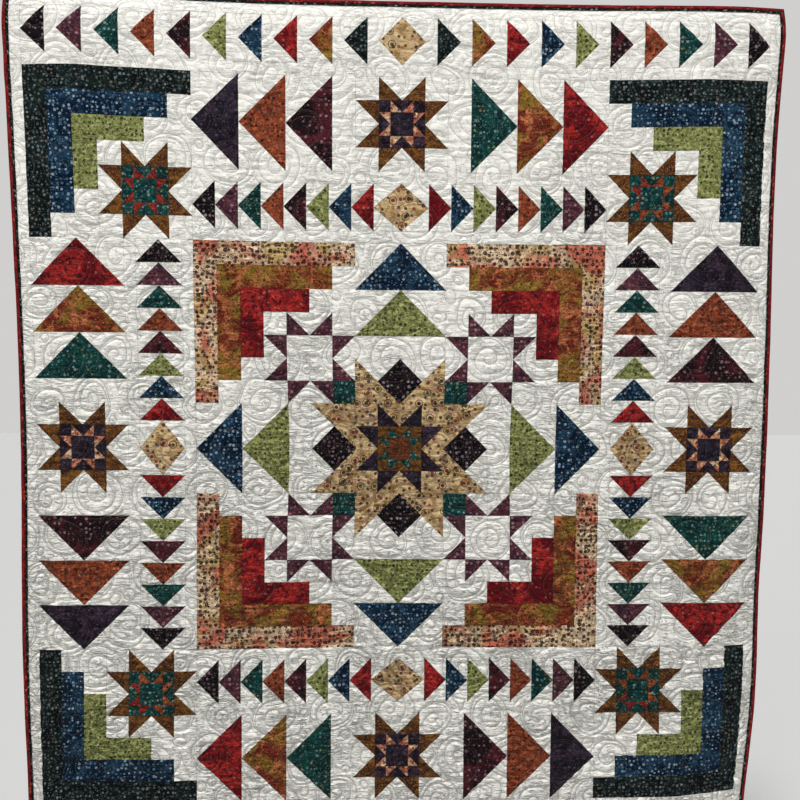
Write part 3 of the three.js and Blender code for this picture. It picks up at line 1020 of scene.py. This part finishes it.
def makeStrip(name, side, section, fabric, node, shapeEdge):  # closed strip, mitred at both corners
    long = halfWidth if side in ("Top", "Bottom") else halfHeight
    bm = bmesh.new()
    stations = round(2 * long / edge["station"])
    bmesh.ops.create_grid(bm, x_segments=stations, y_segments=len(section), size=0.5)
    bm.verts.ensure_lookup_table()
    run = np.array([vert.co.x + 0.5 for vert in bm.verts])
    step = np.rint(np.array([vert.co.y + 0.5 for vert in bm.verts]) * len(section)).astype(int) % len(section)
    profile = np.array(section)
    out, lift = profile[step, 0], profile[step, 1]
    out, lift = shapeEdge(run * 2 * long, out, lift, len(name) + ord(side[0]))
    along = (2 * run - 1) * (long + out - 0.0001)
    across, up = {
        "Top": (-along, halfHeight + out),
        "Bottom": (along, -halfHeight - out),
        "Right": (halfWidth + out, along),
        "Left": (-halfWidth - out, -along),
    }[side]
    places = drape(across, up) + frontNormal(across, up) * lift[:, None]
    for vert, place in zip(bm.verts, places.tolist()):
        vert.co = place
    layer = bm.loops.layers.uv.new("cloth")
    girth = np.concatenate([[0], np.cumsum(np.linalg.norm(np.diff(profile, axis=0), axis=1))])
    for face in bm.faces:
        steps = [step[loop.vert.index] for loop in face.loops]
        wraps = max(steps) - min(steps) > 1
        for loop, at in zip(face.loops, steps):
            v = girth[-1] + 0.001 if wraps and at == 0 else girth[at]
            loop[layer].uv = (run[loop.vert.index] * 2 * long, v)
    bmesh.ops.remove_doubles(bm, verts=bm.verts, dist=1e-7)
    ends = bmesh.ops.holes_fill(bm, edges=openEdges(bm.faces), sides=0)["faces"]
    bmesh.ops.triangulate(bm, faces=ends)
    bmesh.ops.recalc_face_normals(bm, faces=bm.faces)
    for face in bm.faces:
        face.smooth = True
    for line in bm.edges:
        line.smooth = len(line.link_faces) == 2 and line.calc_face_angle() < math.radians(50)
    mesh = bpy.data.meshes.new(name + side)
    bm.to_mesh(mesh)
    bm.free()
    mesh.materials.append(materials[fabric])
    piece = addObject(mesh)
    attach(piece, "root")
    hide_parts(node)
    return piece


def puckeredBinding(run, out, lift, seed):
    front = np.clip((lift - bindingBottom) / (bindingTop - bindingBottom), 0, 1)
    lift = lift + edge["bindingPucker"] * front * softNoise(run / 0.011, out / 0.006, seed)
    return out + edge["bindingSway"] * softNoise(run / 0.045, 0 * run, seed + 1), lift


def loosenedFlange(run, out, lift, seed):
    free = np.clip(1 - out / flangeShow, 0, 1)
    lift = lift + free * edge["flangeLift"] * (0.6 + 0.6 * softNoise(run / 0.024, 0 * run, seed))
    return out + free * edge["flangeWave"] * softNoise(run / 0.033, 0 * run, seed + 1), lift


for side in ("Top", "Right", "Bottom", "Left"):
    end = side.lower()
    binding = makeStrip("binding", side, bindingSection(), "bindingRed", f"binding_{end}", puckeredBinding)
    flange = makeStrip("flange", side, flangeSection(), "flangeSpruce", f"flange_{end}", loosenedFlange)
print("edge done")

# A plain pale floor, well under the hem
studio = {"level": -2.3, "size": 24, "colour": (168, 168, 167), "roughness": 0.9}


def makeFloor():
    bm = bmesh.new()
    bmesh.ops.create_grid(bm, x_segments=1, y_segments=1, size=studio["size"] / 2)
    bmesh.ops.translate(bm, verts=bm.verts, vec=(0, 0, studio["level"]))
    mesh = bpy.data.meshes.new("studioFloor")
    bm.to_mesh(mesh)
    bm.free()
    material = bpy.data.materials.new("studioFloor")
    nodes = Nodes(material)
    nodes.fill(nodes.shader, {"Base Color": linear(studio["colour"]), "Roughness": studio["roughness"]})
    mesh.materials.append(material)
    floor = addObject(mesh)


makeFloor()

# Soft light from above, and the camera where the photograph was taken from
light = {
    "softbox": {"place": (-0.9, -2.8, 1.9), "aim": (0, 0, -0.9), "size": 0.8, "power": 34},
    "suns": [  # direction it comes from, strength, width in degrees
        ((-0.25, -0.60, 1.2), 2.14, 9),
        ((0.5, 0.9, 1.0), 1.7, 30),
    ],
    "fill": 0.63,
    "fillColour": (1.0, 0.99, 0.98, 1),
}
lamp = bpy.data.lights.new("softbox", "AREA")
lamp.energy = light["softbox"]["power"]
lamp.size = light["softbox"]["size"]
lampObject = bpy.data.objects.new("softbox", lamp)
lampObject.location = light["softbox"]["place"]
aim = Vector(light["softbox"]["place"]) - Vector(light["softbox"]["aim"])
lampObject.rotation_euler = aim.to_track_quat("Z", "Y").to_euler()
bpy.context.scene.collection.objects.link(lampObject)
for direction, strength, width in light["suns"]:
    sun = bpy.data.lights.new("sun", "SUN")
    sun.energy = strength
    sun.angle = math.radians(width)
    sunObject = bpy.data.objects.new("sun", sun)
    sunObject.rotation_euler = Vector(direction).to_track_quat("Z", "Y").to_euler()
    bpy.context.scene.collection.objects.link(sunObject)
world = bpy.data.worlds.new("studioLight")
world.use_nodes = True
background = world.node_tree.nodes["Background"]
background.inputs["Color"].default_value = light["fillColour"]
background.inputs["Strength"].default_value = light["fill"]
bpy.context.scene.world = world
bpy.context.scene.view_settings.view_transform = "Standard"

view = {
    "place": (-0.1061, -2.2472, -0.698),
    "turn": -2.740,  # angles in degrees
    "tilt": 90 - 4.466,
    "roll": 0.448,
    "lens": 45,
    "sensor": 36,
}
camera = bpy.data.cameras.new("camera")
camera.lens = view["lens"]
camera.sensor_width = view["sensor"]
cameraObject = bpy.data.objects.new("camera", camera)
cameraObject.matrix_world = (
    Matrix.Translation(view["place"])
    @ Matrix.Rotation(math.radians(view["turn"]), 4, "Z")
    @ Matrix.Rotation(math.radians(view["tilt"]), 4, "X")
    @ Matrix.Rotation(math.radians(view["roll"]), 4, "Z")
)
bpy.context.scene.collection.objects.link(cameraObject)
bpy.context.scene.camera = cameraObject
